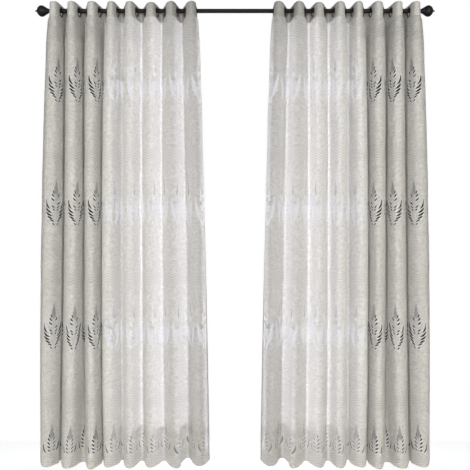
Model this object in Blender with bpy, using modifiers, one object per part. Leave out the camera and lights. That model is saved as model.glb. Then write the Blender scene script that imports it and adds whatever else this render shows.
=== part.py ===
"""Pair of eyelet curtains in sheer voile, hanging in folds from a rod with bud finials.

Metres, +Z up. The origin is on the rod's axis, midway between the two panels. +X runs along
the rod, and +Y points back, away from the fronts of the folds. The left panel is worked out
from the tables below, and the right one is its mirror image.
"""

import math
from bisect import bisect_right
from functools import lru_cache
from typing import NamedTuple

import bmesh
import bpy
from mathutils import Matrix, Vector

# Clear space between two pieces that touch
GAP = 0.0003

# Rod and finials
ROD_RADIUS = 0.0125
ROD_HALF_LENGTH = 1.101
ROD_SIDES = 24
FINIAL_STEPS = 20

# Eyelet ring
EYELET_BORE_RADIUS = 0.0205
EYELET_RIM_RADIUS = 0.030
EYELET_BORE_WIDTH = 0.0052
EYELET_RIM_WIDTH = 0.0032
EYELET_SIDES = 14
EYELET_CLEARANCE = 0.0006

# Cloth, with heights measured down from the rod's axis
HEADING_TOP = -0.033
HEADING_FOOT = 0.050
HEM_LINE = 2.466
CLOTH_FOOT = 2.666
HEADING_THICKNESS = 0.0022
CLOTH_THICKNESS = 0.0014
HEM_THICKNESS = 0.0026
HEM_STEP = 0.002

# Folds: one loop of cloth lies between two eyelets, in turn in front of the rod and behind it
LOOP_CLOTH = 0.156
BACK_DEPTH = 0.065
FRONT_BULGE = 0.003
BACK_BULGE = 0.0005
NECK_OPENING = 0.050
HEADING_LEAN = 0.009
EYELET_PINCH = 0.009
PINCH_REACH = 0.25
END_WIDTH_TOP = 0.004
END_WIDTH_HEM = 0.045
END_SHARE = 0.30
PANEL_END_SHARE = 0.46
LENGTH_STEPS = 24

# Where the sheets are creased into flat faces, as shares of a loop
PANEL_CREASES = (0.05, 0.30, 0.45, 0.70, 0.86)
HEADING_CREASES = (0.22, 0.36, 0.50, 0.64, 0.78)
PANEL_ROWS = (HEADING_FOOT + GAP, 0.27, 1.05, 1.80, HEM_LINE - HEM_STEP / 2, HEM_LINE + HEM_STEP / 2, CLOTH_FOOT)
HEADING_ROWS = (HEADING_TOP, HEADING_FOOT)


class Fold(NamedTuple):
    """One front fold of the left panel: its two walls at three heights, and its reach."""

    top_left: float
    top_right: float
    mid_left: float
    mid_right: float
    hem_left: float
    hem_right: float
    top_front: float
    hem_front: float
    hem_back: float
    hem_lean: float
    hem_dip: float


FOLDS = (
    Fold(-1.108, -1.015, -1.144, -1.022, -1.147, -1.040, 0.074, 0.070, 0.045, -0.004, 0.000),
    Fold(-1.003, -0.912, -1.009, -0.900, -1.027, -0.917, 0.074, 0.084, 0.014, 0.008, 0.008),
    Fold(-0.888, -0.792, -0.889, -0.794, -0.882, -0.784, 0.074, 0.088, 0.045, 0.006, 0.009),
    Fold(-0.768, -0.686, -0.786, -0.688, -0.776, -0.677, 0.073, 0.080, 0.050, -0.006, 0.000),
    Fold(-0.664, -0.575, -0.663, -0.580, -0.659, -0.569, 0.072, 0.090, 0.034, 0.008, 0.003),
    Fold(-0.542, -0.452, -0.538, -0.466, -0.533, -0.438, 0.056, 0.083, 0.033, -0.004, 0.001),
    Fold(-0.425, -0.334, -0.411, -0.333, -0.402, -0.315, 0.074, 0.090, 0.086, 0.022, 0.002),
    Fold(-0.308, -0.213, -0.264, -0.177, -0.250, -0.166, 0.074, 0.058, 0.060, 0.000, 0.000),
)

# Leaf cutwork: one leaf beside each eyelet's line, in four rows
LEAF_TIPS = (0.292, 1.011, 1.730, 2.427)
LEAF_SHIFT = -0.12


class Corner(NamedTuple):
    """A corner of the cut at a leaf's side: out from the midrib, and down from the tip."""

    out: float
    down: float


LEAF_SIDE_CUT = (
    Corner(0.0560, 0.098),
    Corner(0.0450, 0.127),
    Corner(0.0350, 0.157),
    Corner(0.0560, 0.132),
)
CUTTER_REACH = 0.010


class Ring(NamedTuple):
    """A station of a turned outline: distance out from the rod's end, and radius."""

    out: float
    radius: float


FINIAL_OUTLINE = (
    Ring(0.0000, 0.0135),
    Ring(0.0030, 0.0160),
    Ring(0.0120, 0.0205),
    Ring(0.0250, 0.0285),
    Ring(0.0390, 0.0325),
    Ring(0.0510, 0.0290),
    Ring(0.0600, 0.0210),
    Ring(0.0655, 0.0120),
    Ring(0.0690, 0.0055),
    Ring(0.0745, 0.0038),
    Ring(0.0780, 0.0022),
)


def clear_scene():
    """Remove every object of the open scene."""
    for item in list(bpy.data.objects):
        bpy.data.objects.remove(item, do_unlink=True)


def make_collection(name):
    """Add a collection to the scene."""
    collection = bpy.data.collections.new(name)
    bpy.context.scene.collection.children.link(collection)
    return collection


def make_material(name, colour, roughness, metallic):
    """Make a plain finish."""
    material = bpy.data.materials.new(name)
    material.use_nodes = True
    shader = material.node_tree.nodes["Principled BSDF"]
    shader.inputs["Base Color"].default_value = (*colour, 1.0)
    shader.inputs["Roughness"].default_value = roughness
    shader.inputs["Metallic"].default_value = metallic
    material.diffuse_color = (*colour, 1.0)
    return material


def add_object(name, mesh, collection, material=None):
    """Put a mesh into the scene as a named object."""
    item = bpy.data.objects.new(name, mesh)
    collection.objects.link(item)
    if material is not None:
        mesh.materials.append(material)
    return item


def share_of_drop(drop):
    """Give how far down the cloth a height lies, from 0 at the rod to 1 at the foot."""
    return min(max(drop / CLOTH_FOOT, 0.0), 1.0)


def between_stations(share, top, mid, hem):
    """Run a smooth curve through the values at the rod, at half height and at the hem."""
    at_top = (1.0 - share) * (1.0 - 2.0 * share)
    at_mid = 4.0 * share * (1.0 - share)
    at_hem = share * (2.0 * share - 1.0)
    return top * at_top + mid * at_mid + hem * at_hem


def wall_x(number, drop):
    """Give where an eyelet's wall of cloth crosses the rod's plane. Two walls make a fold."""
    last = 2 * len(FOLDS) - 1
    share = share_of_drop(drop)
    end_width = END_WIDTH_TOP + (END_WIDTH_HEM - END_WIDTH_TOP) * share ** 2
    if number < 0:
        return wall_x(0, drop) - end_width
    if number > last:
        return wall_x(last, drop) + end_width
    fold = FOLDS[number // 2]
    pinch = EYELET_PINCH * min(max(1.0 - drop / PINCH_REACH, 0.0), 1.0) ** 2
    if number % 2:
        return between_stations(share, fold.top_right, fold.mid_right, fold.hem_right) - pinch
    return between_stations(share, fold.top_left, fold.mid_left, fold.hem_left) + pinch


def fold_of_loop(number):
    """Give the row of the table for a loop. Even loops are in front and odd ones behind."""
    return FOLDS[min(max(number // 2, 0), len(FOLDS) - 1)]


def loop_reach(number, share):
    """Give how far a loop comes from the rod's plane, and its sideways lean and bulge."""
    fold = fold_of_loop(number)
    if number % 2:
        return BACK_DEPTH + (fold.hem_back - BACK_DEPTH) * share ** 2, 0.0
    depth = fold.top_front + (fold.hem_front - fold.top_front) * share ** 2
    return -depth, HEADING_LEAN + (fold.hem_lean - HEADING_LEAN) * share


def fold_point(phase, drop):
    """Give the plan position of the cloth. The phase counts loops from the first eyelet."""
    share = share_of_drop(drop)
    number = min(max(math.floor(phase), -1), 2 * len(FOLDS) - 1)
    part = phase - number
    start = wall_x(number, drop)
    width = wall_x(number + 1, drop) - start
    depth, lean = loop_reach(number, share)
    bulge = FRONT_BULGE
    if number % 2:
        bulge = max(BACK_BULGE, (NECK_OPENING - width) / (2.0 * math.pi))
    turn = math.pi * part
    x = start + width * part - bulge * math.sin(2.0 * turn) + lean * math.sin(turn)
    return Vector((x, depth * math.sin(turn)))


def fold_normal(phase, drop):
    """Give the plan direction square to the cloth, worked out from two near points."""
    step = 0.05
    run = fold_point(phase + step, drop) - fold_point(phase - step, drop)
    return Vector((-run.y, run.x)).normalized()


@lru_cache(maxsize=None)
def pair_lengths(pair, drop):
    """List the length of cloth from the start of a front and back loop to its even steps."""
    phases = [2 * pair + step / LENGTH_STEPS for step in range(2 * LENGTH_STEPS + 1)]
    points = [fold_point(phase, drop) for phase in phases]
    lengths = [0.0]
    for before, after in zip(points, points[1:]):
        lengths.append(lengths[-1] + (after - before).length)
    return lengths


def phase_of_cloth(cloth, drop):
    """Give the phase where the cloth, spread evenly through each pair of loops, has come."""
    if cloth <= 0.0:
        return cloth
    pair = math.floor(cloth / 2.0)
    lengths = pair_lengths(pair, drop)
    wanted = (cloth / 2.0 - pair) * lengths[-1]
    step = min(bisect_right(lengths, wanted) - 1, 2 * LENGTH_STEPS - 1)
    part = (wanted - lengths[step]) / (lengths[step + 1] - lengths[step])
    return 2 * pair + (step + part) / LENGTH_STEPS


def foot_dip(cloth, drop):
    """Give how much lower a front fold hangs than the level hem, easing in down the cloth."""
    number = math.floor(cloth)
    if number % 2:
        return 0.0
    rise = math.sin(math.pi * (cloth - number)) ** 2
    return fold_of_loop(number).hem_dip * rise * share_of_drop(drop) ** 2


def crease_lines(creases, end_share):
    """List the upright creases from one side edge of a panel to the other, in loops."""
    first = -END_SHARE
    last = 2 * len(FOLDS) - 1 + end_share
    inner = [loop + crease for loop in range(-1, 2 * len(FOLDS)) for crease in creases]
    clear = 0.05
    return [first] + [line for line in inner if first + clear < line < last - clear] + [last]


def creased_point(cloth, drop, creases, phase_at):
    """Give the plan position and normal on the flat face between two creases."""
    right = next((i for i, value in enumerate(creases) if value >= cloth - 1e-6), len(creases) - 1)
    right = max(right, 1)
    low = phase_at(creases[right - 1], drop)
    high = phase_at(creases[right], drop)
    mix = (cloth - creases[right - 1]) / (creases[right] - creases[right - 1])
    place = fold_point(low, drop).lerp(fold_point(high, drop), mix)
    normal = fold_normal(low, drop).lerp(fold_normal(high, drop), mix)
    return place, normal.normalized()


def flat_sheet(name, creases, rows, collection):
    """Lay out a flat sheet of unit thickness, its width counted in cloth from eyelet 1."""
    bm = bmesh.new()
    corners = [bm.verts.new((crease * LOOP_CLOTH, 0.0, -rows[0])) for crease in creases]
    edges = [bm.edges.new(pair) for pair in zip(corners, corners[1:])]
    for upper, lower in zip(rows, rows[1:]):
        grown = bmesh.ops.extrude_edge_only(bm, edges=edges)["geom"]
        verts = [part for part in grown if isinstance(part, bmesh.types.BMVert)]
        edges = [part for part in grown if isinstance(part, bmesh.types.BMEdge)]
        edges = [edge for edge in edges if edge.verts[0] in verts and edge.verts[1] in verts]
        bmesh.ops.translate(bm, verts=verts, vec=(0.0, 0.0, upper - lower))
    bmesh.ops.recalc_face_normals(bm, faces=bm.faces)
    mesh = bpy.data.meshes.new(name)
    bm.to_mesh(mesh)
    bm.free()
    sheet = add_object(name, mesh, collection)
    wall = sheet.modifiers.new("thickness", "SOLIDIFY")
    wall.thickness = CLOTH_THICKNESS
    wall.offset = 0.0
    return sheet


def prism_cutter(name, outlines, collection):
    """Make one cutter from flat outlines of (along, up) corners, pushed through the sheet."""
    bm = bmesh.new()
    for outline in outlines:
        face = bm.faces.new([bm.verts.new((along, -CUTTER_REACH, up)) for along, up in outline])
        grown = bmesh.ops.extrude_face_region(bm, geom=[face])["geom"]
        verts = [part for part in grown if isinstance(part, bmesh.types.BMVert)]
        bmesh.ops.translate(bm, verts=verts, vec=(0.0, 2.0 * CUTTER_REACH, 0.0))
    bmesh.ops.recalc_face_normals(bm, faces=bm.faces)
    mesh = bpy.data.meshes.new(name)
    bm.to_mesh(mesh)
    bm.free()
    cutter = add_object(name, mesh, collection)
    cutter.hide_render = True
    cutter.display_type = "WIRE"
    return cutter


def cut_sheet(sheet, cutter):
    """Cut the openings through a flat sheet and give the result as a triangle mesh."""
    cut = sheet.modifiers.new("openings", "BOOLEAN")
    cut.object = cutter
    cut.operation = "DIFFERENCE"
    cut.solver = "EXACT"
    graph = bpy.context.evaluated_depsgraph_get()
    mesh = bpy.data.meshes.new_from_object(sheet.evaluated_get(graph))
    bm = bmesh.new()
    bm.from_mesh(mesh)
    bmesh.ops.triangulate(bm, faces=bm.faces, quad_method="BEAUTY", ngon_method="BEAUTY")
    bm.to_mesh(mesh)
    bm.free()
    bpy.data.objects.remove(sheet, do_unlink=True)
    bpy.data.objects.remove(cutter, do_unlink=True)
    return mesh


def hang(mesh, creases, phase_at, thickness_at):
    """Move a flat cut sheet onto the folds, with its true thickness."""
    for vertex in mesh.vertices:
        cloth = vertex.co.x / LOOP_CLOTH
        drop = -vertex.co.z
        place, normal = creased_point(cloth, drop, creases, phase_at)
        place += normal * math.copysign(thickness_at(drop) / 2.0, vertex.co.y)
        vertex.co = (place.x, place.y, vertex.co.z - foot_dip(cloth, drop))
    mesh.update()


def mirror_mesh(mesh, name):
    """Copy a mesh to the other side of the rod's middle, its faces still pointing out."""
    bm = bmesh.new()
    bm.from_mesh(mesh)
    bmesh.ops.transform(bm, verts=bm.verts, matrix=Matrix.Scale(-1.0, 4, (1.0, 0.0, 0.0)))
    bmesh.ops.reverse_faces(bm, faces=bm.faces)
    mirrored = bpy.data.meshes.new(name)
    bm.to_mesh(mirrored)
    bm.free()
    return mirrored


def panel_thickness(drop):
    """Give the panel's thickness: a single cloth above the hem line, doubled in the hem."""
    return HEM_THICKNESS if drop > HEM_LINE else CLOTH_THICKNESS


def leaf_outlines():
    """List the two side cuts of every leaf, left out where a side edge is too near."""
    last_leaf = 2 * len(FOLDS) - 1
    outlines = []
    for leaf in range(last_leaf + 1):
        sides = [side for side in (-1, 1) if 0 <= leaf + side <= last_leaf]
        midrib = (leaf + LEAF_SHIFT) * LOOP_CLOTH
        for tip in LEAF_TIPS:
            for side in sides:
                outline = [(midrib + side * corner.out, -tip - corner.down) for corner in LEAF_SIDE_CUT]
                outlines.append(outline)
    return outlines


def eyelet_seat(number):
    """Give the ends of an eyelet's flat wall of cloth, and how far along it the rod passes."""
    before = fold_point(number - 1 + HEADING_CREASES[-1], eyelet_drop())
    after = fold_point(number + HEADING_CREASES[0], eyelet_drop())
    return before, after, before.y / (before.y - after.y)


def eyelet_drop():
    """Give how far an eyelet's middle hangs below the rod's axis, its bore on the rod."""
    return EYELET_BORE_RADIUS * math.cos(math.pi / EYELET_SIDES) - ROD_RADIUS - GAP


def eyelet_outlines():
    """List the holes of the heading, each a little wider than its ring."""
    radius = EYELET_RIM_RADIUS + EYELET_CLEARANCE
    flat_run = (1.0 + HEADING_CREASES[0] - HEADING_CREASES[-1]) * LOOP_CLOTH
    outlines = []
    for number in range(2 * len(FOLDS)):
        before, after, share = eyelet_seat(number)
        middle = (number - 1 + HEADING_CREASES[-1]) * LOOP_CLOTH + share * flat_run
        squeeze = flat_run / (after - before).length
        angles = [2.0 * math.pi * step / EYELET_SIDES for step in range(EYELET_SIDES)]
        outline = [
            (middle + squeeze * radius * math.cos(angle), radius * math.sin(angle) - eyelet_drop())
            for angle in angles
        ]
        outlines.append(outline)
    return outlines


def make_panels(collection, material):
    """Make the two cloth panels, with their hems and the widest cuts of each leaf."""
    creases = crease_lines(PANEL_CREASES, PANEL_END_SHARE)
    sheet = flat_sheet("flat_panel", creases, PANEL_ROWS, collection)
    cutter = prism_cutter("leaf_cutter", leaf_outlines(), collection)
    mesh = cut_sheet(sheet, cutter)
    hang(mesh, creases, phase_of_cloth, panel_thickness)
    add_object("panel_left", mesh, collection, material)
    add_object("panel_right", mirror_mesh(mesh, "panel_right"), collection, material)


def make_headings(collection, material):
    """Make the two stiffened heading bands, holed for the eyelets."""
    creases = crease_lines(HEADING_CREASES, END_SHARE)
    sheet = flat_sheet("flat_heading", creases, HEADING_ROWS, collection)
    cutter = prism_cutter("eyelet_cutter", eyelet_outlines(), collection)
    mesh = cut_sheet(sheet, cutter)
    hang(mesh, creases, lambda cloth, drop: cloth, lambda drop: HEADING_THICKNESS)
    add_object("heading_left", mesh, collection, material)
    add_object("heading_right", mirror_mesh(mesh, "heading_right"), collection, material)


def turned(name, outline, steps, closed):
    """Make a profile mesh of (radius, height) points for a Screw around +Z."""
    mesh = bpy.data.meshes.new(name)
    edges = [(i, i + 1) for i in range(len(outline) - 1)]
    if closed:
        edges.append((len(outline) - 1, 0))
    mesh.from_pydata([(radius, 0.0, height) for radius, height in outline], edges, [])
    return mesh


def add_turning(item, steps):
    """Turn an object's profile around its own Z axis."""
    turn = item.modifiers.new("turning", "SCREW")
    turn.steps = steps
    turn.render_steps = steps
    turn.use_merge_vertices = True
    turn.merge_threshold = 0.0001
    turn.use_smooth_shade = True


def make_eyelets(collection, material):
    """Make the rings, each flat in its wall of cloth and hung by its bore on the rod."""
    outline = (
        (EYELET_BORE_RADIUS, -EYELET_BORE_WIDTH / 2.0),
        (EYELET_BORE_RADIUS, EYELET_BORE_WIDTH / 2.0),
        (EYELET_RIM_RADIUS, EYELET_RIM_WIDTH / 2.0),
        (EYELET_RIM_RADIUS, -EYELET_RIM_WIDTH / 2.0),
    )
    mesh = turned("eyelet_ring", outline, EYELET_SIDES, closed=True)
    mesh.materials.append(material)
    for number in range(2 * len(FOLDS)):
        before, after, share = eyelet_seat(number)
        centre = before.lerp(after, share)
        for side, mirror in (("left", 1.0), ("right", -1.0)):
            item = add_object(f"eyelet_{side}_{number + 1:02d}", mesh, collection)
            along = Vector((mirror * (after.x - before.x), after.y - before.y, 0.0)).normalized()
            up = Vector((0.0, 0.0, 1.0))
            frame = Matrix((along, up, along.cross(up))).transposed().to_4x4()
            item.matrix_world = Matrix.Translation((mirror * centre.x, centre.y, -eyelet_drop())) @ frame
            add_turning(item, EYELET_SIDES)


def make_rod(collection, material):
    """Make the rod, a plain round bar along X."""
    bpy.ops.mesh.primitive_cylinder_add(
        vertices=ROD_SIDES,
        radius=ROD_RADIUS,
        depth=2.0 * ROD_HALF_LENGTH,
        rotation=(0.0, math.pi / 2.0, 0.0),
    )
    rod = bpy.context.active_object
    rod.name = "rod"
    rod.data.materials.append(material)
    for holder in list(rod.users_collection):
        holder.objects.unlink(rod)
    collection.objects.link(rod)
    rod.data.shade_smooth()
    rod.data.set_sharp_from_angle(angle=math.radians(40.0))


def make_finials(collection, material):
    """Make the bud finials, one against each end of the rod."""
    tip = FINIAL_OUTLINE[-1]
    outline = [(0.0, tip.out)]
    outline += [(ring.radius, ring.out) for ring in reversed(FINIAL_OUTLINE)]
    outline.append((0.0, 0.0))
    mesh = turned("finial_bud", outline, FINIAL_STEPS, closed=False)
    mesh.materials.append(material)
    for side, turn in (("left", -1.0), ("right", 1.0)):
        item = add_object(f"finial_{side}", mesh, collection)
        item.location = (turn * (ROD_HALF_LENGTH + GAP), 0.0, 0.0)
        item.rotation_euler = (0.0, turn * math.pi / 2.0, 0.0)
        add_turning(item, FINIAL_STEPS)


def main():
    """Build the whole pair of curtains on its rod."""
    clear_scene()
    parts = make_collection("sheer_curtain_pair")
    voile = make_material("voile", (0.78, 0.77, 0.74), 0.85, 0.0)
    band = make_material("heading_cloth", (0.62, 0.61, 0.57), 0.90, 0.0)
    bronze = make_material("eyelet_bronze", (0.10, 0.07, 0.05), 0.40, 0.9)
    brown = make_material("rod_brown", (0.020, 0.012, 0.010), 0.45, 0.3)
    black = make_material("finial_black", (0.012, 0.012, 0.012), 0.50, 0.3)
    make_rod(parts, brown)
    make_finials(parts, black)
    make_headings(parts, band)
    make_eyelets(parts, bronze)
    make_panels(parts, voile)


main()
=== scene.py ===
"""Looks of a pair of sheer eyelet curtains that hang from a rod with bud finials.

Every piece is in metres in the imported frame: +X runs along the rod, +Y points back from the
fronts of the folds, and +Z is up, with the origin on the rod's axis between the two panels.
"""

from __future__ import annotations

import logging
import math
from bisect import bisect_right
from dataclasses import dataclass
from enum import Enum
from functools import lru_cache
from typing import NamedTuple, Sequence

import bmesh
import bpy
from bmesh.types import BMEdge, BMesh, BMFace, BMVert
from bpy.types import Material, Object, World
from mathutils import Matrix, Vector, noise


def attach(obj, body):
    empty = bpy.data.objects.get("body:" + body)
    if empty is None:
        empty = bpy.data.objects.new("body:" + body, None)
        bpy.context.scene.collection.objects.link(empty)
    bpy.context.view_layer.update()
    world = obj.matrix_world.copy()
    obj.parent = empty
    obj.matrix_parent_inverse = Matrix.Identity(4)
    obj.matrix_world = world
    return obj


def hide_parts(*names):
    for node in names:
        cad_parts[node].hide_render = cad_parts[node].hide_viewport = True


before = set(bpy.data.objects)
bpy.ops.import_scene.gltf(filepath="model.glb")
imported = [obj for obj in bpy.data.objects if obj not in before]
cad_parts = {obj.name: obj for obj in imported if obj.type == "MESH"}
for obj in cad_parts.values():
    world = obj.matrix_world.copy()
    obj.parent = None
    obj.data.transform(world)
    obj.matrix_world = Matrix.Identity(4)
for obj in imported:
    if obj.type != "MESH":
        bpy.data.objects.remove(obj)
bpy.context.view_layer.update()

LOG = logging.getLogger("curtains")
Outline = Sequence[tuple[float, float]]
Colour = tuple[float, float, float]
Spot = tuple[float, float, float]
MILLIMETRE = 0.001
TURN = 2.0 * math.pi
# How close two coordinates lie that are taken as the same
NEAR = 1e-4


class Side(Enum):
    """The two sides of the pair, seen from the front."""

    LEFT = "left"
    RIGHT = "right"

    @property
    def sign(self) -> float:
        """Give the sign of this side's X coordinates."""
        return -1.0 if self is Side.LEFT else 1.0


class Value:
    """One output of a shader node, so that sums on it are written as Python expressions."""

    def __init__(self, graph: Graph, socket: bpy.types.NodeSocket) -> None:
        """Keep the graph and the socket."""
        self.graph = graph
        self.socket = socket

    def __add__(self, other: Value | float) -> Value:
        """Add a value or number."""
        return self.graph.sum("ADD", self, other)

    __radd__ = __add__

    def __sub__(self, other: Value | float) -> Value:
        """Take a value or number away."""
        return self.graph.sum("SUBTRACT", self, other)

    def __rsub__(self, other: Value | float) -> Value:
        """Take this value away from a number."""
        return self.graph.sum("SUBTRACT", other, self)

    def __mul__(self, other: Value | float) -> Value:
        """Multiply by a value or number."""
        return self.graph.sum("MULTIPLY", self, other)

    def wave(self) -> Value:
        """Give the sine, for an angle in radians."""
        return self.graph.sum("SINE", self)

    def size(self) -> Value:
        """Give the value without its sign."""
        return self.graph.sum("ABSOLUTE", self)

    def wrapped(self, period: float) -> Value:
        """Fold the value into one period around zero."""
        return self.graph.sum("WRAP", self, period / 2.0, -period / 2.0)

    def clamped(self) -> Value:
        """Hold the value between 0 and 1."""
        return self.graph.add("ShaderNodeClamp", {}, {"Value": self})

    def below(self, edge: float, soft: float) -> Value:
        """Give 1 under an edge and 0 over it, with a soft step between."""
        settings = {"interpolation_type": "SMOOTHSTEP"}
        ends = {"From Min": edge - soft, "From Max": edge + soft, "To Min": 1.0, "To Max": 0.0}
        return self.graph.add("ShaderNodeMapRange", settings, {"Value": self, **ends})


class Graph:
    """The node tree of one material or world."""

    def __init__(self, name: str, world: bool = False) -> None:
        """Make a material or a world, whose tree holds only its output."""
        self.owner = (bpy.data.worlds if world else bpy.data.materials).new(name)
        self.owner.use_nodes = True
        self.tree = self.owner.node_tree
        self.tree.nodes.clear()
        self.output = self.tree.nodes.new(f"ShaderNodeOutput{'World' if world else 'Material'}")

    def add(self, kind: str, settings: dict, inputs: dict, output: int | str = 0) -> Value:
        """Add a node, with its settings before its inputs.

        Args:
            kind: The node's type.
            settings: The node's own properties by name.
            inputs: Values, colours, vectors or links, by socket name or number.
            output: The output to give.

        Returns:
            The chosen output.
        """
        node = self.tree.nodes.new(kind)
        for name, setting in settings.items():
            setattr(node, name, setting)
        for name, given in inputs.items():
            socket = node.inputs[name]
            if isinstance(given, Value):
                self.tree.links.new(given.socket, socket)
            else:
                socket.default_value = given
        return Value(self, node.outputs[output])

    def sum(self, operation: str, *terms: Value | float) -> Value:
        """Add a Math node for an operation, with its inputs in order."""
        return self.add("ShaderNodeMath", {"operation": operation}, dict(enumerate(terms)))

    def blend(self, share: Value | float, low: Value | tuple, high: Value | tuple) -> Value:
        """Mix two colours by the share of the second."""
        low, high = ((*c, 1.0) if isinstance(c, tuple) and len(c) == 3 else c for c in (low, high))
        # The Mix node's colour sockets stand at 6 and 7, and its colour output at 2
        return self.add("ShaderNodeMix", {"data_type": "RGBA"}, {0: share, 6: low, 7: high}, 2)

    def speckle(self, where: Value, scale: float, detail: float = 2.0) -> Value:
        """Give smooth noise from 0 to 1 with about so many spots to a metre."""
        return self.add("ShaderNodeTexNoise", {}, {"Vector": where, "Scale": scale, "Detail": detail})

    def place(self) -> Value:
        """Give the position in the piece's own coordinates."""
        return self.add("ShaderNodeTexCoord", {}, {}, "Object")

    def weave(self) -> tuple[Value, Value, Value]:
        """Give the place in the flat cloth, and its distances along and down."""
        pattern = self.add("ShaderNodeUVMap", {"uv_map": "pattern"}, {})
        along = self.add("ShaderNodeSeparateXYZ", {}, {0: pattern}, 0)
        down = self.add("ShaderNodeSeparateXYZ", {}, {0: pattern}, 1)
        return pattern, along, down

    def marked(self, layer: str) -> Value:
        """Give a number that the mesh keeps at each point."""
        return self.add("ShaderNodeAttribute", {"attribute_name": layer}, {}, "Fac")

    def relief(self, height: Value, strength: float, depth: float) -> Value:
        """Give a normal bumped by a height, in units that are each so many metres deep."""
        inputs = {"Height": height, "Strength": strength, "Distance": depth}
        return self.add("ShaderNodeBump", {}, inputs)

    def surface(self, **inputs: Value | float | tuple) -> Value:
        """Give a Principled shader, its sockets named with underscores for spaces."""
        named = {name.replace("_", " "): given for name, given in inputs.items()}
        for name, given in named.items():
            if isinstance(given, tuple) and len(given) == 3 and name.endswith(("Color", "Tint")):
                named[name] = (*given, 1.0)
        return self.add("ShaderNodeBsdfPrincipled", {}, named)

    def mixed(self, share: Value | float, first: Value, second: Value) -> Value:
        """Mix two shaders by the share of the second."""
        return self.add("ShaderNodeMixShader", {}, {0: share, 1: first, 2: second})

    def let_through(self, share: float, cloth: Value, tint: Value, normal: Value) -> Value:
        """Let a share of the light through a cloth's shader, in the cloth's own tint."""
        glow = self.add("ShaderNodeBsdfTranslucent", {}, {"Color": tint, "Normal": normal})
        return self.mixed(share, cloth, glow)

    def finish(self, shader: Value) -> Material | World:
        """Send a shader to the output and give the material or world."""
        self.tree.links.new(shader.socket, self.output.inputs["Surface"])
        return self.owner


class Fold(NamedTuple):
    """One front fold of the left panel: its two walls at three heights, and its reach."""

    top_left: float
    top_right: float
    mid_left: float
    mid_right: float
    hem_left: float
    hem_right: float
    top_front: float
    hem_front: float
    hem_back: float
    hem_lean: float
    hem_dip: float


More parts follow.
